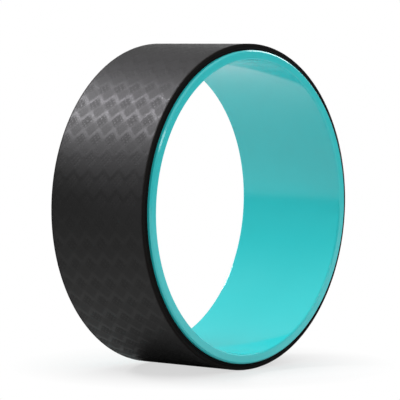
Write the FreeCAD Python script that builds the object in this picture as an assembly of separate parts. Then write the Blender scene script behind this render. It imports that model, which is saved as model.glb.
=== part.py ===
import FreeCAD, Part
import math
import os

# Yoga wheel: a rigid plastic hoop with a foam mat glued round its outside.
# Lengths are in millimetres and angles in degrees.
# The origin is the middle of the wheel, +Y runs along its axis and +Z is up.

# Whole wheel
wheel_diameter = 330.0  # over the tread
hoop_width = 129.5  # from rim face to rim face

# Hoop, cut from thick-walled plastic pipe, with turned and polished rims
hoop_wall = 9.4
rim_outer_chamfer = 1.5
rim_inner_round = 1.6

# Mat, two plies of foam on a film of glue
tread_thickness = 3.4
cushion_thickness = 3.0
glue_thickness = 0.25
near_margin = 4.0  # bare hoop between the mat and the rim face at the -Y end
far_margin = 5.8  # the same at the +Y end
shoulder_chamfer = 0.8  # trimmed edges of the tread, along both rims

# Seam, where the two ends of the mat meet
seam_gap = 0.6  # width of the glue line at the tread's surface
seam_recess = 0.4  # the glue line ends this far below the tread's surface
seam_elevation = 30.0  # the seam lies on the +X side, this far above the horizontal

# Radii, from the tread inwards
tread_radius = wheel_diameter / 2
cushion_radius = tread_radius - tread_thickness
glue_radius = cushion_radius - cushion_thickness
hoop_outer_radius = glue_radius - glue_thickness
hoop_inner_radius = hoop_outer_radius - hoop_wall

# The mat leaves a margin of the hoop bare at each end, and sits nearer to the -Y end.
mat_width = hoop_width - near_margin - far_margin
mat_middle = (near_margin - far_margin) / 2
seam_angle = math.degrees(seam_gap / tread_radius)
mat_angle = 360.0 - seam_angle

ORIGIN = FreeCAD.Vector(0, 0, 0)
AXIS = FreeCAD.Vector(0, 1, 0)


def ring(inner_radius, outer_radius, width, middle=0.0, angle=360.0):
    """A ring of rectangular section about the wheel's axis, or the arc of one that starts at +X."""
    near, far = middle - width / 2, middle + width / 2
    section = [
        FreeCAD.Vector(inner_radius, near, 0),
        FreeCAD.Vector(outer_radius, near, 0),
        FreeCAD.Vector(outer_radius, far, 0),
        FreeCAD.Vector(inner_radius, far, 0),
    ]
    face = Part.Face(Part.makePolygon(section + section[:1]))
    return face.revolve(ORIGIN, AXIS, angle)


def edges_at(solid, radius):
    """The circular edges of a ring that lie at one radius from the axis."""
    circles = [edge for edge in solid.Edges if isinstance(edge.Curve, Part.Circle)]
    return [edge for edge in circles if math.isclose(edge.Curve.Radius, radius)]


def turn(solid, angle):
    """Turn a solid about the wheel's axis, upwards from +X for a positive angle."""
    turned = solid.copy()
    turned.rotate(ORIGIN, AXIS, -angle)
    return turned


def make_hoop():
    """The load-bearing pipe ring: chamfered beside the mat, and rounded inside where the hands hold it."""
    solid = ring(hoop_inner_radius, hoop_outer_radius, hoop_width)
    solid = solid.makeChamfer(rim_outer_chamfer, edges_at(solid, hoop_outer_radius))
    return solid.makeFillet(rim_inner_round, edges_at(solid, hoop_inner_radius))


def make_mat_glue():
    """The film of contact glue between the hoop and the mat."""
    return ring(hoop_outer_radius, glue_radius, mat_width, mat_middle)


def make_cushion_ply():
    """The soft inner ply of the mat, a strip bent round the hoop from one side of the seam to the other."""
    return turn(ring(glue_radius, cushion_radius, mat_width, mat_middle, mat_angle), seam_elevation)


def make_tread_ply():
    """The dense outer ply of the mat, the same strip with trimmed shoulders."""
    strip = ring(cushion_radius, tread_radius, mat_width, mat_middle, mat_angle)
    strip = strip.makeChamfer(shoulder_chamfer, edges_at(strip, tread_radius))
    return turn(strip, seam_elevation)


def make_seam_glue():
    """The line of glue that closes the butt seam through both plies, short of the shoulders."""
    bead_width = mat_width - 2 * shoulder_chamfer
    bead = ring(glue_radius, tread_radius - seam_recess, bead_width, mat_middle, seam_angle)
    return turn(bead, seam_elevation + seam_angle)


def main():
    os.makedirs("parts", exist_ok=True)
    pieces = {
        "hoop": make_hoop(),
        "mat_glue": make_mat_glue(),
        "cushion_ply": make_cushion_ply(),
        "tread_ply": make_tread_ply(),
        "seam_glue": make_seam_glue(),
    }
    for name, solid in pieces.items():
        solid.exportStep("parts/" + name + ".step")
        print(name, "valid" if solid.isValid() else "not valid", round(solid.Volume / 1000, 2), "cm3")


main()
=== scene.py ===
# %% [markdown]
# # A yoga wheel
# A yoga wheel is a hoop of thick plastic pipe with a foam mat glued round its outside. The rigid model
# already holds the real sizes, so this lesson only dresses it: a polished hoop, an embossed tread,
# the cut edge of the foam, the glue, and a plain white studio. All lengths are in metres.

# %% Load the rigid model
import math
import bpy
import numpy as np
from mathutils import Matrix, Vector


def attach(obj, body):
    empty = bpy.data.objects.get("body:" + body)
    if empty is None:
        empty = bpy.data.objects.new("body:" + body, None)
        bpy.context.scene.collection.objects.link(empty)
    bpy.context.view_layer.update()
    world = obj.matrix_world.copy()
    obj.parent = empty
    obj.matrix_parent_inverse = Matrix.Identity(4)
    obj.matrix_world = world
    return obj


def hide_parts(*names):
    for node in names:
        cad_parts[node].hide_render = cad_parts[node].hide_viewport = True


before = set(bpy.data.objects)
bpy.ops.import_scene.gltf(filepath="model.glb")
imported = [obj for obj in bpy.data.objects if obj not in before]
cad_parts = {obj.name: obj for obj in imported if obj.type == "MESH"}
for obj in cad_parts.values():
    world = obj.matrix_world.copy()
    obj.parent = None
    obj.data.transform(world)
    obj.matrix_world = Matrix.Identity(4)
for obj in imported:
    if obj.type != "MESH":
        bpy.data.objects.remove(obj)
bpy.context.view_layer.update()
print("nodes:", ", ".join(sorted(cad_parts)))

# %% [markdown]
# ## Measuring the rings
# Every piece of the wheel is a ring about the Y axis. Their sizes could be typed in again, but then they
# could drift apart from the rigid model. Reading them from the model's own points keeps both in step.


# %% Measure the rings
def node_points(name):
    """The points of one rigid piece, as an array of shape (points, 3)."""
    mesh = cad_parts[name].data
    flat = np.empty(len(mesh.vertices) * 3)
    mesh.vertices.foreach_get("co", flat)
    return flat.reshape(-1, 3)


def ring_size(name):
    """Inner and outer radius, near and far end: the least and greatest distance from the Y axis, and y."""
    x, y, z = node_points(name).T
    distance = np.hypot(x, z)
    return [float(value) for value in (distance.min(), distance.max(), y.min(), y.max())]


hoop_inner, hoop_outer, _, hoop_half = ring_size("hoop")
cushion_inner, cushion_outer, mat_near, mat_far = ring_size("cushion_ply")
_, tread_outer, _, _ = ring_size("tread_ply")
mat_middle, mat_half = (mat_near + mat_far) / 2, (mat_far - mat_near) / 2

seam_x, _, seam_z = node_points("seam_glue").T
seam_low, seam_high = np.arctan2(seam_z, seam_x).min(), np.arctan2(seam_z, seam_x).max()
strip_start, strip_end = seam_high, seam_low + 2 * np.pi
print(f"hoop {hoop_inner * 1000:.2f} to {hoop_outer * 1000:.2f} mm from the axis")
print(f"tread out to {tread_outer * 1000:.2f} mm")
print(f"mat {mat_half * 2000:.1f} mm wide, {mat_middle * 1000:.1f} mm off the middle")

# %% [markdown]
# ## From grids of points to meshes
# A ring is a flat outline, the section, carried round the axis. As arrays that is one line: every angle
# meets every section point. The faces join each point with its neighbours.


# %% Grid helpers
def sweep(radius, along, angles):
    """Carry a section round the Y axis: x = r cos a, y = y, z = r sin a, for every angle a."""
    angles = np.atleast_2d(angles.T).T
    radius, along, angles = np.broadcast_arrays(radius, along, angles)
    return np.stack([radius * np.cos(angles), along, radius * np.sin(angles)], -1)


def grid_triangles(rows, columns, close_rows, other_way=None):
    """Two triangles for each square of a grid that closes across. other_way picks the second diagonal."""
    index = np.arange(rows * columns).reshape(rows, columns)
    index = np.hstack([index, index[:, :1]])
    if close_rows:
        index = np.vstack([index, index[:1]])
    a, b, c, d = index[:-1, :-1], index[1:, :-1], index[1:, 1:], index[:-1, 1:]
    one = np.stack([np.stack([a, b, c], -1), np.stack([a, c, d], -1)], -2)
    two = np.stack([np.stack([a, b, d], -1), np.stack([b, c, d], -1)], -2)
    pick = np.zeros(a.shape, bool) if other_way is None else other_way
    return np.where(pick[..., None, None], two, one).reshape(-1, 3), index


# %% [markdown]
# ## From meshes to pieces
# Blender takes whole arrays with foreach_set, which is much faster than adding points one by one. The faces
# have to look outwards, and the sign of the volume that they enclose tells whether they do.


# %% Piece helpers
def enclosed_volume(points, triangles):
    """Signed volume of a closed surface: the sum of p0 . (p1 x p2) / 6 over its triangles."""
    p0, p1, p2 = (points[triangles[:, k]] for k in range(3))
    return float(np.einsum("ij,ij->", p0, np.cross(p1, p2)) / 6)


def ring_piece(name, grid, closed, other_way=None):
    """A smooth-shaded object from a grid of section points. An open strip gets a flat face on each end."""
    rows, columns = grid.shape[:2]
    points = grid.reshape(-1, 3)
    triangles, index = grid_triangles(rows, columns, closed, other_way)
    ends = [] if closed else [index[0, :-1], index[-1, :-1][::-1]]
    if enclosed_volume(points, triangles) < 0:
        triangles = triangles[:, ::-1]
        ends = [end[::-1] for end in ends]
    corners = np.concatenate([triangles.ravel(), *ends]).astype(np.int32)
    sizes = np.concatenate([np.full(len(triangles), 3), [len(end) for end in ends]]).astype(np.int32)
    mesh = bpy.data.meshes.new(name)
    mesh.vertices.add(len(points))
    mesh.vertices.foreach_set("co", points.astype(np.float32).ravel())
    mesh.loops.add(len(corners))
    mesh.loops.foreach_set("vertex_index", corners)
    mesh.polygons.add(len(sizes))
    mesh.polygons.foreach_set("loop_start", (np.cumsum(sizes) - sizes).astype(np.int32))
    mesh.polygons.foreach_set("use_smooth", sizes == 3)
    mesh.update(calc_edges=True)
    mesh.validate()
    piece = bpy.data.objects.new(name, mesh)
    bpy.context.scene.collection.objects.link(piece)
    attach(piece, "root")
    print(f"{name}: {len(triangles)} triangles")
    return piece


# %% [markdown]
# ## The hoop
# The hoop is cut from plastic pipe and its rims are turned and polished, so it has flat rim faces, a soft
# round inside where the hands go, and a chamfer beside the mat. A lathe in real life, a swept section here.
# Extra points just outside each round keep the flat faces flat under smooth shading.


# %% Section helpers
def corner_arc(radius, along, size, start, end, count):
    """Points of a round between two angles: radius + size * cos, along + size * sin."""
    angle = np.radians(np.linspace(start, end, count))
    return radius + size * np.cos(angle), along + size * np.sin(angle)


def join_section(*stretches):
    """One section from stretches of (radius, along) arrays, in order."""
    radius = np.concatenate([np.atleast_1d(stretch[0]) for stretch in stretches])
    along = np.concatenate([np.atleast_1d(stretch[1]) for stretch in stretches])
    return radius, along


# %% Hoop
rim_round = 0.0016
rim_chamfer = 0.0015
chamfer_round = 0.0003  # the two edges of the chamfer are polished round
hold = 0.0002  # distance of the extra points from the rounds
outer_stop = 0.01  # the outer wall, under the mat, has no points nearer to the middle
round_points, edge_points, wall_points, outer_points = 12, 4, 7, 3
hoop_turns = 480


def hoop_section():
    """Inner wall, inner round, rim face, chamfer and outer wall of one end, then the same mirrored."""
    wall_end, chamfer_end = hoop_half - rim_round, hoop_half - rim_chamfer
    inset = chamfer_round * (math.sqrt(2) - 1)
    face_end = hoop_outer - rim_chamfer - inset
    inner = corner_arc(hoop_inner + rim_round, wall_end, rim_round, 180, 90, round_points)
    first = corner_arc(face_end, hoop_half - chamfer_round, chamfer_round, 90, 45, edge_points)
    second = corner_arc(hoop_outer - chamfer_round, chamfer_end - inset, chamfer_round, 45, 0, edge_points)
    face = np.array([hoop_inner + rim_round + hold, face_end - hold])
    slope = np.array([hoop_outer - rim_chamfer + 2 * hold, hoop_outer - 2 * hold])
    wall = np.linspace(0.0, wall_end - hold, wall_points)
    outer = np.linspace(chamfer_end - inset - hold, outer_stop, outer_points)
    half_radius, half_along = join_section(
        (np.full(wall_points, hoop_inner), wall),
        inner,
        (face, np.full(2, hoop_half)),
        first,
        (slope, hoop_outer + chamfer_end - slope),
        second,
        (np.full(outer_points, hoop_outer), outer),
    )
    return join_section((half_radius, half_along), (half_radius[:0:-1], -half_along[:0:-1]))


angles = np.linspace(0, 2 * np.pi, hoop_turns, endpoint=False)
hoop = ring_piece("polished_hoop", sweep(*hoop_section(), angles), closed=True)
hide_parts("hoop")

# %% [markdown]
# ## The cushion ply
# Only the cut edges of the soft inner ply show, as dark bands along both rims. Foam that is squeezed
# between two skins bows out a little at a cut edge, so the section's sides are shallow arcs.

# %% Cushion ply
edge_bow = 0.00025  # how far the cut edge stands out halfway up
edge_draw = 0.00020  # how far it is drawn in at the glue lines
bow_points = 9
cushion_turns = 360


def cushion_section():
    """A strip with bowed ends.

    along = half width - draw + (draw + bow) * (1 - t * t), with t from -1 to 1 across the thickness
    """
    t = np.linspace(-1, 1, bow_points)
    middle, reach = (cushion_inner + cushion_outer) / 2, (cushion_outer - cushion_inner) / 2
    side_radius = middle + reach * t
    side_along = mat_half - edge_draw + (edge_draw + edge_bow) * (1 - t * t)
    radius, along = join_section((side_radius, side_along), (side_radius[::-1], -side_along[::-1]))
    return radius, along + mat_middle


angles = np.linspace(strip_start, strip_end, cushion_turns)
cushion = ring_piece("cushion_strip", sweep(*cushion_section(), angles), closed=False)
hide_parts("cushion_ply")

# %% [markdown]
# ## The embossed tread
# The outer ply is pressed with zigzag ribs that run across it, one below the other, and fainter ribs that
# mirror them, so that they enclose diamonds. The diamonds under the peaks are deeper and pitted. A
# displacement modifier on a plain grid would need a huge mesh to follow ribs that run at 45 degrees. Here
# the grid is matched to the zigzag, so that each rib runs along the diagonals of its squares, and each
# square is split along the rib beside it. The ribs then stay straight and even with few points.

# %% Lattice of the emboss
diamond_round = 0.0209  # diagonal of a diamond along the tread, and from one zigzag to the next
diamond_across = 0.01946  # diagonal of a diamond across the tread
diamond_side = diamond_round * diamond_across / math.hypot(diamond_round, diamond_across)
peak_angle = math.radians(143.2)  # one peak of a zigzag, round the wheel from +X over the top
peak_along = -0.0056  # the same peak, along the axis
strip_skew = 0.042  # the strip was glued on with its ribs a little askew
grid_steps = 16  # grid squares to a diamond's diagonal
rib_half = 0.0009  # half the width of a rib's top
rib_flank = 0.0020  # width of the slope beside it
faint_rib = 0.00002  # depths below the zigzag ribs
deep_cell = 0.00006
plain_cell = 0.00004
corner_round = 0.975  # 1 is a sharp zigzag
faint_share = 0.25  # how much a faint rib counts in the mask, next to a strong one


def zigzag(b):
    """A triangle wave with rounded corners, from 0 to 0.5 and back: arccos(c cos 2 pi b) / 2 pi."""
    return np.arccos(corner_round * np.cos(2 * np.pi * b)) / (2 * np.pi)


def smoothstep(t):
    """0 below 0, 1 above 1, and 3 t^2 - 2 t^3 between."""
    t = np.clip(t, 0, 1)
    return t * t * (3 - 2 * t)


def away_from(line):
    """0 on a rib and 1 past its flank. The whole numbers of line are ribs, one diamond side apart."""
    return smoothstep((np.abs(line - np.round(line)) * diamond_side - rib_half) / rib_flank)


def emboss(a, b):
    """Depth below the zigzag ribs, flank * (faint rib + rest of the cell * faint flank), and a rib mask."""
    strong, faint = away_from(a - zigzag(b)), away_from(a + zigzag(b))
    deep = (np.floor(a + b) + np.floor(a - b)) % 2 == 0
    cell = np.where(deep, deep_cell, plain_cell)
    depth = strong * (faint_rib + (cell - faint_rib) * faint)
    return depth, 1 - strong * (1 - faint_share + faint_share * faint)


def lattice_lines(start, end, anchor, step, margin):
    """The grid lines of the lattice between two limits, and the limits themselves."""
    first = math.ceil((start + margin - anchor) / step)
    last = math.floor((end - margin - anchor) / step)
    return np.concatenate([[start], anchor + step * np.arange(first, last + 1), [end]])


print(f"diamond side {diamond_side * 1000:.1f} mm")

# %% [markdown]
# ## The tread ply
# The tread is swept as the hoop is, but it is a strip whose two ends meet at the seam. The places of the
# ribs and of the cut edges are kept with the mesh, so that the finish can follow the form.

# %% Tread ply
shoulder = 0.0008  # radius of the rounded edges along both rims
bare_edge = 0.0012  # width of the edge where the skin is gone
skew_fade = 0.6  # radians from the seam over which the ribs turn askew
side_points, shoulder_points = 4, 5
underside = np.array([0.03, 0.0, -0.03])  # places of the few points on the glued face


def tread_section():
    """Drawn-in side, rounded shoulder, the lattice lines across the tread, and the same back down."""
    top = tread_outer - shoulder
    side_radius = np.linspace(cushion_outer, top, side_points)[:-1]
    side_along = np.full(side_points - 1, mat_half)
    side_along[0] -= edge_draw
    arc_radius, arc_along = corner_arc(top, mat_half - shoulder, shoulder, 90, 0, shoulder_points)
    step = diamond_across / grid_steps
    across = lattice_lines(-arc_along[-1], arc_along[-1], peak_along - mat_middle, step, step / 2)[1:-1]
    return join_section(
        (side_radius, -side_along),
        (arc_radius, -arc_along),
        (np.full(len(across), tread_outer), across),
        (arc_radius[::-1], arc_along[::-1]),
        (side_radius[::-1], side_along[::-1]),
        (np.full(len(underside), cushion_outer), underside),
    )


def make_tread():
    """Sweep the section, sink its outside by the emboss, and slant its rows by the skew."""
    radius, along = tread_section()
    along = along + mat_middle
    step = diamond_round / tread_outer / grid_steps
    angle = lattice_lines(strip_start, strip_end, peak_angle, step, step / 2)[:, None]
    a = (angle - peak_angle) * tread_outer / diamond_round
    b = (along - peak_along) / diamond_across
    depth, rib = emboss(a, b)
    outside = np.clip((radius - tread_outer + shoulder) / shoulder, 0, 1)
    from_seam = smoothstep(np.minimum(angle - strip_start, strip_end - angle) / skew_fade)
    slanted = angle + from_seam * strip_skew * (along - peak_along) / tread_outer
    grid = sweep(radius - depth * outside, along, slanted)
    p, q = a + b, a - b
    middle_p, middle_q = (np.roll(c, -1, 1)[:-1] / 2 + c[1:] / 2 for c in (p, q))
    rib_distance = [np.abs(c - np.round(c)) for c in (middle_p, middle_q)]
    piece = ring_piece("embossed_tread", grid, closed=False, other_way=rib_distance[0] < rib_distance[1])
    to_edge = mat_half - np.abs(along - mat_middle)
    cut = np.maximum(1 - outside, 1 - smoothstep((to_edge - bare_edge) / bare_edge))
    store_pattern(piece.data, p, q, rib * outside, np.broadcast_to(cut, p.shape))
    return piece


def store_pattern(mesh, p, q, rib, cut):
    """For the finish: the lattice coordinates as a UV map, and the ribs and cut edges as attributes."""
    corner = np.empty(len(mesh.loops), np.int32)
    mesh.loops.foreach_get("vertex_index", corner)
    pattern = mesh.uv_layers.new(name="lattice")
    lattice = np.stack([p.ravel(), q.ravel()], -1)[corner]
    pattern.uv.foreach_set("vector", lattice.astype(np.float32).ravel())
    for name, values in (("rib", rib), ("cut", cut)):
        layer = mesh.attributes.new(name, "FLOAT", "POINT")
        layer.data.foreach_set("value", values.astype(np.float32).ravel())


tread = make_tread()
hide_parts("tread_ply")

# %% [markdown]
# ## Writing shaders as sums
# A finish is a small network of nodes. Wired by hand it takes many lines, so one class wraps a socket and
# lets Python's own operators add the Math nodes.


# %% Sockets in sums
class Wire:
    """An output socket that can be used in a sum."""

    def __init__(self, paint, socket):
        self.paint = paint
        self.socket = socket

    def math(self, operation, *values):
        """A Math node of any operation, with its values in order."""
        return self.paint.node("ShaderNodeMath", {"operation": operation}, dict(enumerate(values)))

    def __add__(self, other):
        return self.math("ADD", self, other)

    def __radd__(self, other):
        return self.math("ADD", other, self)

    def __sub__(self, other):
        return self.math("SUBTRACT", self, other)

    def __rsub__(self, other):
        return self.math("SUBTRACT", other, self)

    def __mul__(self, other):
        return self.math("MULTIPLY", self, other)

    def __rmul__(self, other):
        return self.math("MULTIPLY", other, self)

    def __pow__(self, other):
        return self.math("POWER", self, other)

    def clip(self):
        """The value kept between 0 and 1."""
        return self.paint.node("ShaderNodeClamp", {}, {"Value": self})


# %% [markdown]
# ## One method for every node
# Every node has a kind, settings and sockets. One method adds any of them, and short methods on top of it
# give the few kinds that the finishes use again and again.


# %% Nodes by calls
class Paint:
    """A material, or the world, whose nodes are added one call at a time."""

    def __init__(self, owner):
        owner.use_nodes = True
        self.tree = owner.node_tree
        self.tree.nodes.clear()

    def node(self, kind, settings, sockets, output=0):
        """Add a node: first its settings, then a value or a link for each socket. Returns one output."""
        made = self.tree.nodes.new(kind)
        for name, value in settings.items():
            setattr(made, name, value)
        for name, value in sockets.items():
            if isinstance(value, Wire):
                self.tree.links.new(value.socket, made.inputs[name])
            else:
                made.inputs[name].default_value = value
        return Wire(self, made.outputs[output]) if len(made.outputs) else None

    def attribute(self, name):
        """A value that is stored with the points of the mesh."""
        return self.node("ShaderNodeAttribute", {"attribute_name": name}, {}, "Fac")

    def place(self):
        """Object coordinates, in metres, with the origin in the middle of the wheel."""
        return self.node("ShaderNodeTexCoord", {}, {}, "Object")

    def parts(self, vector):
        """The three numbers of a vector."""
        split = self.node("ShaderNodeSeparateXYZ", {}, {"Vector": vector})
        return [Wire(self, socket) for socket in split.socket.node.outputs]

    def noise(self, vector, size, detail=2.0):
        """Soft noise from 0 to 1 whose patches are about size metres across."""
        return self.node("ShaderNodeTexNoise", {}, {"Vector": vector, "Scale": 1 / size, "Detail": detail})

    def blend(self, amount, first, second):
        """A colour between two others."""
        settings = {"data_type": "RGBA"}
        return self.node("ShaderNodeMix", settings, {"Factor": amount, 6: first, 7: second}, 2)

    def bump(self, height, depth, below=None):
        """A normal tilted by a height from 0 to 1 that stands for depth metres."""
        sockets = {"Height": height, "Distance": depth, "Strength": 1.0}
        if below is not None:
            sockets["Normal"] = below
        return self.node("ShaderNodeBump", {}, sockets)

    def surface(self, **sockets):
        """A surface, with the names of its sockets written in one word."""
        named = {name.replace("_", " "): value for name, value in sockets.items()}
        named["Specular IOR Level"] = named.pop("Specular")
        return self.node("ShaderNodeBsdfPrincipled", {}, named)

    def mix(self, share, first, second):
        """Two surfaces in one, with a share of the second."""
        return self.node("ShaderNodeMixShader", {}, {0: share, 1: first, 2: second})

    def finish(self, surface):
        """Hand the surface to the material's output."""
        self.node("ShaderNodeOutputMaterial", {}, {"Surface": surface})


def new_paint(name):
    """A new material and the paint that fills it."""
    material = bpy.data.materials.new(name)
    return material, Paint(material)


# %% [markdown]
# ## Polished teal plastic
# Pipe plastic is coloured all through and polished, not painted. It is even in colour, with a slight
# waviness left by the pipe die, and faint rings on the rim faces where the tool turned them. Haze changes
# the gloss more than the colour, so it feeds the roughness.

# %% Hoop finish
teal, light_teal = (0.026, 0.645, 0.665, 1), (0.030, 0.665, 0.690, 1)
haze_size, wave_size = 0.045, 0.030
wave_depth, turning_depth = 0.00012, 0.000004
face_depth, face_edge = 0.0006, 0.0004  # how far below the rim face the rings start, and over what length
turning_rate = 9000  # radians of the turned rings to a metre
clear_rough, haze_rough, turning_rough = 0.08, 0.06, 0.03


def polished_teal():
    """Gloss from haze, and normals from waves and from turned rings: 0.5 + 0.5 sin(rate * radius)."""
    material, paint = new_paint("polished_teal")
    place = paint.place()
    x, y, z = paint.parts(place)
    radius = (x * x + z * z) ** 0.5
    haze = paint.noise(place, haze_size, 4.0)
    wave = paint.noise(place, wave_size, 1.0)
    on_face = ((y.math("ABSOLUTE", y) - hoop_half + face_depth) * (1 / face_edge)).clip()
    turns = radius * turning_rate
    turning = on_face * (turns.math("SINE", turns) * 0.5 + 0.5)
    colour = paint.blend(haze, teal, light_teal)
    rough = clear_rough + haze * haze_rough + turning * turning_rough
    normal = paint.bump(turning, turning_depth, paint.bump(wave, wave_depth))
    paint.finish(paint.surface(Base_Color=colour, Roughness=rough, Normal=normal, Specular=0.65))
    return material


hoop.data.materials.append(polished_teal())
print("finish:", hoop.data.materials[0].name)

# %% [markdown]
# ## Black foam
# The tread's skin is closed. It is slightly shiny on the ribs, where the press touched it most and where it
# is rubbed in use, and duller in the cells. The deep cells also hold a grid of small pits with shiny
# bottoms. The lattice coordinates stored with the mesh place the pits, so they follow the ribs round the
# wheel. At the cut edges the skin is gone, and the fine open bubbles of the foam make it rough.

# %% Pits
pits_to_a_side = 4  # pits along a diamond's side, the last one under the rib
pit_sharpness = 1.5


def pit_grid(paint):
    """Small pits in every second cell: the product of two raised cosines of the lattice coordinates."""
    pattern = paint.node("ShaderNodeUVMap", {"uv_map": "lattice"}, {})
    p, q, _ = paint.parts(pattern)
    wave_p, wave_q = ((c * (2 * math.pi * pits_to_a_side)) for c in (p, q))
    hills = [wave.math("COSINE", wave) * 0.5 + 0.5 for wave in (wave_p, wave_q)]
    whole = p.math("FLOOR", p) + q.math("FLOOR", q)
    deep = 1 - whole.math("FLOORED_MODULO", whole, 2.0)
    return (hills[0] * hills[1]) ** pit_sharpness * deep, deep


print(f"pits {diamond_side / pits_to_a_side * 1000:.1f} mm apart")

# %% Tread finish
skin, light_skin = (0.0088, 0.0088, 0.0088, 1), (0.0108, 0.0106, 0.0104, 1)
open_foam, light_foam = (0.0095, 0.0085, 0.0080, 1), (0.0135, 0.0120, 0.0115, 1)
grain_size, bubble_size, bloom_size, rub_size = 0.0011, 0.0006, 0.05, 0.0030
grain_depth, bubble_depth, pit_depth = 0.00002, 0.0001, 0.00004
skin_rough, deep_rough, bloom_rough, grain_rough, foam_rough = 0.55, 0.05, 0.03, 0.14, 0.9
rib_polish, rub_polish, pit_polish = 0.09, 0.07, 0.30  # how far each lowers the roughness
rub_start, rub_gain = 0.35, 3.0  # the noise above the start is rubbed skin
rib_spread = 1.5  # above 1, so that the cells' floors start beside the ribs


def black_foam():
    """Skin whose roughness falls on ribs and in pits, mixed with open foam where the mat is cut."""
    material, paint = new_paint("black_foam")
    place = paint.place()
    rib, cut = paint.attribute("rib"), paint.attribute("cut")
    pits, deep = pit_grid(paint)
    floor = (1 - rib * rib_spread).clip()
    pits = pits * floor
    grain = paint.noise(place, grain_size, 3.0)
    bubbles = paint.noise(place, bubble_size, 2.0)
    bloom = paint.noise(place, bloom_size, 3.0)
    rubbed = ((paint.noise(place, rub_size, 2.0) - rub_start) * rub_gain).clip()
    rough = skin_rough + deep * floor * deep_rough + bloom * bloom_rough + (grain - 0.5) * grain_rough
    rough = rough - rib * (rib_polish + rubbed * rub_polish) - pits * rubbed * pit_polish
    colour = paint.blend(bloom, skin, light_skin)
    normal = paint.bump(1 - pits, pit_depth, paint.bump(grain, grain_depth))
    pressed = paint.surface(Base_Color=colour, Roughness=rough, Normal=normal, Specular=0.20)
    colour, normal = paint.blend(bubbles, open_foam, light_foam), paint.bump(bubbles, bubble_depth)
    edge = paint.surface(Base_Color=colour, Roughness=foam_rough, Normal=normal, Specular=0.04)
    paint.finish(paint.mix(cut, pressed, edge))
    return material


tread.data.materials.append(black_foam())
print("finish:", tread.data.materials[0].name)

# %% [markdown]
# ## Cut foam and dried glue
# The cushion shows only its cut edge, which is matt and full of open bubbles. The two pieces of glue keep
# their rigid shapes and only get a finish: dried glue is dark, lumpy and a little shiny.

# %% Cushion and glue finishes
soft_foam, light_soft_foam = (0.003, 0.003, 0.003, 1), (0.005, 0.005, 0.005, 1)
glue_brown, light_glue = (0.020, 0.018, 0.015, 1), (0.035, 0.031, 0.026, 1)
soft_bubble_size, patch_size, lump_size = 0.0007, 0.02, 0.002
soft_bubble_depth, lump_depth = 0.00020, 0.0001
cut_rough, patch_rough, glue_rough, lump_rough = 0.78, 0.12, 0.45, 0.2


def cut_foam():
    """Open bubbles in the normal, and wide patches in the colour and the roughness."""
    material, paint = new_paint("cut_foam")
    place = paint.place()
    bubbles = paint.noise(place, soft_bubble_size, 2.0)
    patches = paint.noise(place, patch_size, 2.0)
    colour = paint.blend(patches, soft_foam, light_soft_foam)
    rough, normal = cut_rough + patches * patch_rough, paint.bump(bubbles, soft_bubble_depth)
    paint.finish(paint.surface(Base_Color=colour, Roughness=rough, Normal=normal, Specular=0.1))
    return material


def dried_glue():
    """Lumps in the colour, the roughness and the normal."""
    material, paint = new_paint("dried_glue")
    place = paint.place()
    lumps = paint.noise(place, lump_size, 2.0)
    colour = paint.blend(lumps, glue_brown, light_glue)
    rough, normal = glue_rough + lumps * lump_rough, paint.bump(lumps, lump_depth)
    paint.finish(paint.surface(Base_Color=colour, Roughness=rough, Normal=normal, Specular=0.4))
    return material


cushion.data.materials.append(cut_foam())
glue = dried_glue()
for name in ("mat_glue", "seam_glue"):
    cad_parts[name].data.materials.clear()
    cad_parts[name].data.materials.append(glue)
print("finishes:", cushion.data.materials[0].name, "and", glue.name)

# %% [markdown]
# ## Camera
# The picture was taken with a long lens from a little above the axis, so the rims are ellipses that keep
# almost the same width from front to back. The camera comes before the studio, because the paper and the
# lamps are laid out along its line of sight.

# %% Camera
view_turn = math.radians(50.704)  # round the wheel, from facing the near rim
view_drop = math.radians(3.499)  # how far the camera looks down
view_roll = math.radians(-0.075)
view_distance = 2.71442
shift_right, shift_up = 0.00244, -0.00497  # the middle of the wheel, from the middle of the picture
focal_pixels, picture_pixels = 2649.1, 400

tilted = Matrix.Rotation(view_roll, 3, "Y") @ Matrix.Rotation(view_drop, 3, "X")
turned = tilted @ Matrix.Rotation(view_turn, 3, "Z")
back = turned.transposed()
camera_data = bpy.data.cameras.new("camera")
camera_data.sensor_width = 36.0
camera_data.lens = focal_pixels * camera_data.sensor_width / picture_pixels
camera_data.clip_end = 100.0
camera = bpy.data.objects.new("camera", camera_data)
axes = Matrix((back.col[0], back.col[2], -back.col[1])).transposed()
position = back @ -Vector((shift_right, view_distance, shift_up))
camera.matrix_world = Matrix.Translation(position) @ axes.to_4x4()
bpy.context.scene.collection.objects.link(camera)
bpy.context.scene.camera = camera
to_camera = camera.matrix_world.translation.normalized()
bpy.context.scene.view_settings.view_transform = "Standard"
print(f"lens {camera_data.lens:.0f} mm, camera {view_distance:.2f} m away")

# %% [markdown]
# ## The studio
# The wheel stands on a wide strip of white paper that runs along the camera's line of sight, as in a
# studio. The paper glows for the camera, so that no edge of the floor shows, and for mirrors, so that the
# polished hoop shows it. Close to the wheel the floor keeps its own shading, and with it the shadow. To
# the left the paper fades evenly with the angle at which a mirror looks down at it, which goes with
# 1 / distance.

# %% Floor finish
left_start, left_end = 0.60, 4.0  # where the paper fades, to the left of the line of sight
right_start, right_end = 1.90, 2.70  # and to the right
shadow_share = 0.35  # how much of the shadow the camera sees
fade_start, fade_end = 0.09, 0.20  # distances between which the floor's own shading turns into the glow
floor_grey = (0.57, 0.57, 0.57, 1)
white = (1, 1, 1, 1)


def seen_directly(paint):
    """Two values: 1 for rays from the camera, and 1 for mirror-like and see-through rays."""
    light_path = paint.node("ShaderNodeLightPath", {}, {}).socket.node.outputs
    names = ("Is Camera Ray", "Is Glossy Ray", "Is Transmission Ray")
    camera_ray, glossy, through = (Wire(paint, light_path[name]) for name in names)
    return camera_ray, (glossy + through).clip()


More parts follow.
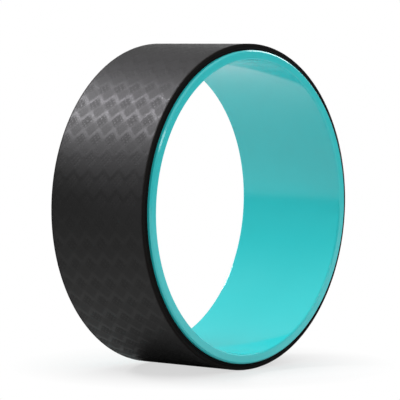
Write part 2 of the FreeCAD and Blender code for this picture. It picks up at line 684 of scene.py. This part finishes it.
def floor_paint():
    """A matt floor that glows: for mirrors on the paper, and for the camera all but a share of the shadow.

    A fade is (place - start) / (end - start), kept between 0 and 1. To the left it runs over 1 / distance.
    """
    material, paint = new_paint("white_floor")
    material.cycles.emission_sampling = "NONE"  # the glow is only looked at, it is no lamp
    x, y, _ = paint.parts(paint.place())
    from_wheel = (x * x + y * y) ** 0.5
    fade = ((from_wheel - fade_start) * (1 / (fade_end - fade_start))).clip()
    to_right = x * math.cos(view_turn) - y * math.sin(view_turn)
    right_edge = ((right_end - to_right) * (1 / (right_end - right_start))).clip()
    to_left = to_right.math("MAXIMUM", to_right * -1, left_start / 2)
    left_edge = ((to_left ** -1 - 1 / left_end) * (1 / (1 / left_start - 1 / left_end))).clip()
    paper = left_edge * right_edge
    by_camera, by_mirrors = seen_directly(paint)
    glow_share = by_mirrors * fade * paper + by_camera * (1 - shadow_share * (1 - fade))
    matt = paint.node("ShaderNodeBsdfDiffuse", {}, {"Color": floor_grey})
    glow = paint.node("ShaderNodeEmission", {}, {"Color": white, "Strength": 1.0})
    paint.finish(paint.mix(glow_share, matt, glow))
    return material


# %% [markdown]
# ## The floor's form
# A flat floor ends at a horizon, which the hoop would mirror as a hard line. This one is a wide shallow
# bowl, flat round the wheel, whose rim hides the horizon.

# %% Floor
floor_level = -tread_outer
bowl_start, bowl_end, bowl_rise = 8.0, 40.0, 4.0  # where the floor starts to rise, its rim and its height
bowl_rings, bowl_sides = 17, 96


def bowl_points():
    """Rings of points: height = floor + rise * smoothstep((radius - start) / (end - start))."""
    turn = np.linspace(0, 2 * np.pi, bowl_sides, endpoint=False)
    radius = np.linspace(bowl_start, bowl_end, bowl_rings)[:, None]
    height = floor_level + bowl_rise * smoothstep((radius - bowl_start) / (bowl_end - bowl_start))
    rings = np.broadcast_arrays(radius * np.cos(turn), radius * np.sin(turn), height)
    return np.stack(rings, -1).reshape(-1, 3)


triangles, index = grid_triangles(bowl_rings, bowl_sides, close_rows=False)
floor_mesh = bpy.data.meshes.new("floor")
floor_mesh.from_pydata(bowl_points().tolist(), [], triangles.tolist() + [index[0, :-1].tolist()])
floor_bowl = bpy.data.objects.new("floor", floor_mesh)
bpy.context.scene.collection.objects.link(floor_bowl)
floor_mesh.materials.append(floor_paint())
print(f"floor {bowl_end * 2:.0f} m across, paper {left_end + right_end:.1f} m wide")

# %% [markdown]
# ## The room
# The walls are dim and the ceiling is brighter, because under an even white sky the reflections of a
# polished surface have no shape.

# %% Room
room_light, ceiling_light = 0.33, 0.60
ceiling_start, ceiling_end = 0.40, 0.80  # sines of the elevations between which the room turns brighter

world = bpy.data.worlds.new("studio_room")
bpy.context.scene.world = world
paint = Paint(world)
_, _, height = paint.parts(paint.node("ShaderNodeTexCoord", {}, {}, "Generated"))
rising = ((height - ceiling_start) * (1 / (ceiling_end - ceiling_start))).clip()
strength = room_light + rising * (ceiling_light - room_light)
room = paint.node("ShaderNodeBackground", {}, {"Color": white, "Strength": strength})
paint.node("ShaderNodeOutputWorld", {}, {"Surface": room})
print(f"room light {room_light}, ceiling light {ceiling_light}")

# %% [markdown]
# ## Lamps
# Wide soft lamps light the rims from the front and the top, and the bottom of the bore from behind, through
# the hoop. A lamp shows as glare where a polished surface mirrors it to the camera. The law of reflection
# tells where that is: the direction to the lamp is the direction to the camera, mirrored about the
# surface's normal. Two soft lamps stand where the rim's edge mirrors them, as a streak on the left and a
# thin line at the top right.


# %% Lamp helpers
def aim(lamp_data, target, direction, distance):
    """Put a lamp at a distance along a direction from its target, facing the target."""
    lamp = bpy.data.objects.new(lamp_data.name, lamp_data)
    towards = Vector(direction).normalized()
    lamp.location = Vector(target) + towards * distance
    lamp.rotation_euler = towards.to_track_quat("Z", "Y").to_euler()
    bpy.context.scene.collection.objects.link(lamp)


def round_lamp(name, direction, distance, size, watts):
    """A soft round lamp that faces the middle of the wheel."""
    data = bpy.data.lights.new(name, "AREA")
    data.shape, data.size, data.energy = "DISK", size, watts
    aim(data, (0, 0, 0), direction, distance)


def mirrored(normal):
    """The direction that a surface mirrors to the camera: 2 (n . c) n - c."""
    normal = Vector(normal).normalized()
    return 2 * normal.dot(to_camera) * normal - to_camera


# %% Round lamps
streak_normal = (-0.891, -1, 0.454)  # the rim's chamfer at the left, 153 degrees round from +X
line_normal = (0.28, -1, 0.96)  # the same at the top right
round_lamps = (  # name, direction, distance, width and watts
    ("front_lamp", (0.0, -0.80, 0.60), 2.0, 0.9, 4.4),
    ("streak_lamp", mirrored(streak_normal), 2.0, 0.45, 2.4),
    ("top_lamp", (0.0, -0.38, 0.93), 2.0, 2.4, 6),
    ("back_lamp", (-0.10, 0.84, 0.53), 2.0, 0.5, 31),
    ("edge_lamp", mirrored(line_normal), 1.5, 1.4, 17),
)
for lamp in round_lamps:
    round_lamp(*lamp)
print(len(round_lamps), "round lamps")

# %% [markdown]
# ## Sheen on the tread
# The emboss shows best where the foam's dull gloss mirrors a lamp. Three narrow beams stand where three
# places of the tread's upper left mirror them. Narrow ones keep the sheen to that part of the tread.

# %% Beams
beam_cone, beam_blend, beam_width = math.radians(7.2), 0.7, 0.015
beam_distance, beam_watts = 2.0, 51
beam_colour = (0.95, 0.92, 1.0)
sheen_angles = np.radians([137, 143.5, 150])  # round the wheel from +X over the top
sheen_middle = (-0.125, -0.02, 0.115)


def beam_lamp(name, direction):
    """A narrow beam with soft edges, as from a lamp with a grid in front."""
    data = bpy.data.lights.new(name, "SPOT")
    data.spot_size, data.spot_blend = beam_cone, beam_blend
    data.shadow_soft_size, data.energy, data.color = beam_width, beam_watts, beam_colour
    aim(data, sheen_middle, direction, beam_distance)


for angle in sheen_angles:
    beam_lamp("sheen_lamp", mirrored((math.cos(angle), 0, math.sin(angle))))
print(len(sheen_angles), "beams")
